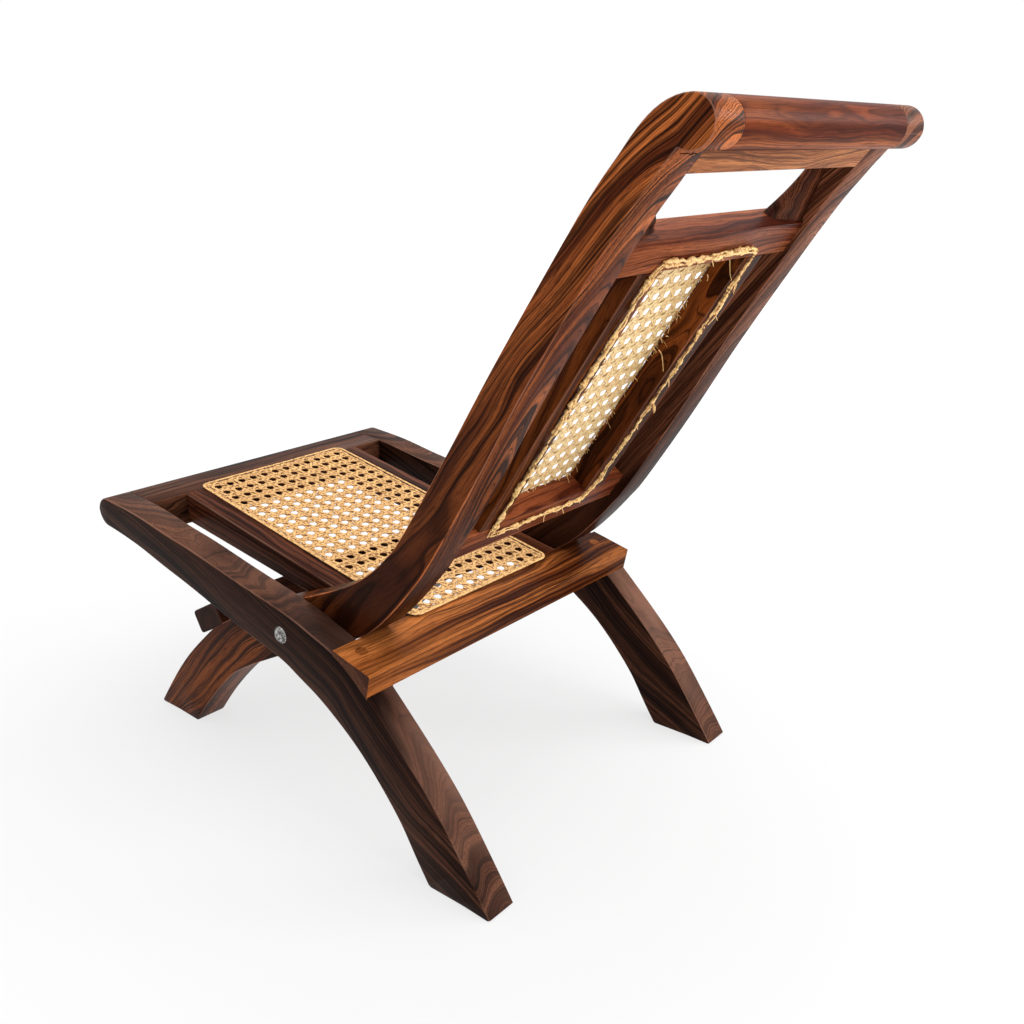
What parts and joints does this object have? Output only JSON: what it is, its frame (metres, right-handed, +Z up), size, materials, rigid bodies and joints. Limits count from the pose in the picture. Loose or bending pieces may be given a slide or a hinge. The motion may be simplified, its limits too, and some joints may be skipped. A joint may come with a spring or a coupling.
{
  "type": "broken wooden chair",
  "caption": "Low folding lounge chair in dark rosewood, woven cane seat and back, crossing curved frames on a bolted pivot, back cane torn and frayed along two edges.",
  "frame": {"origin": "on the floor, at the middle of the chair from side to side and from front to back", "axes": "+X is the sitter's left, -Y is the front, +Z is up"},
  "size_m": [0.51, 0.9204, 0.823],
  "materials": {
    "rosewood": "glossy lacquer",
    "dark_rosewood": "glossy lacquer",
    "cane": "aged natural cane",
    "lacing": "aged natural cane, rough",
    "steel": "polished"
  },
  "bodies": {
    "seat_frame": {"seat_side_rail_left": "rosewood", "seat_side_rail_right": "rosewood", "seat_front_rail": "rosewood", "seat_rear_rail": "rosewood", "seat_inner_rail_left": "dark_rosewood", "seat_inner_rail_right": "dark_rosewood", "seat_cane": "cane", "seat_cane_binding": "lacing", "rear_rail_peg_left": "dark_rosewood", "rear_rail_peg_right": "dark_rosewood", "pivot_bolt_left": "steel", "pivot_bolt_right": "steel", "pivot_washer_left": "steel", "pivot_washer_right": "steel", "pivot_nut_left": "steel", "pivot_nut_right": "steel"},
    "back_frame": {"back_stile_left": "rosewood", "back_stile_right": "rosewood", "crest_roll": "dark_rosewood", "head_rail": "dark_rosewood", "mid_rail": "dark_rosewood", "bottom_rail": "dark_rosewood", "back_inner_stile_left": "rosewood", "back_inner_stile_right": "rosewood", "handhold_bracket_left": "rosewood", "handhold_bracket_right": "rosewood", "back_cane": "cane", "back_cane_lacing": "lacing", "back_cane_binding": "lacing", "front_stretcher": "rosewood"}
  },
  "joints": [
    {"name": "back_fold", "type": "hinge", "parent": "seat_frame", "child": "back_frame", "pos_m": [0, -0.06475, 0.239], "axis": [1, 0, 0], "range_deg": [0, 116]}
  ]
}
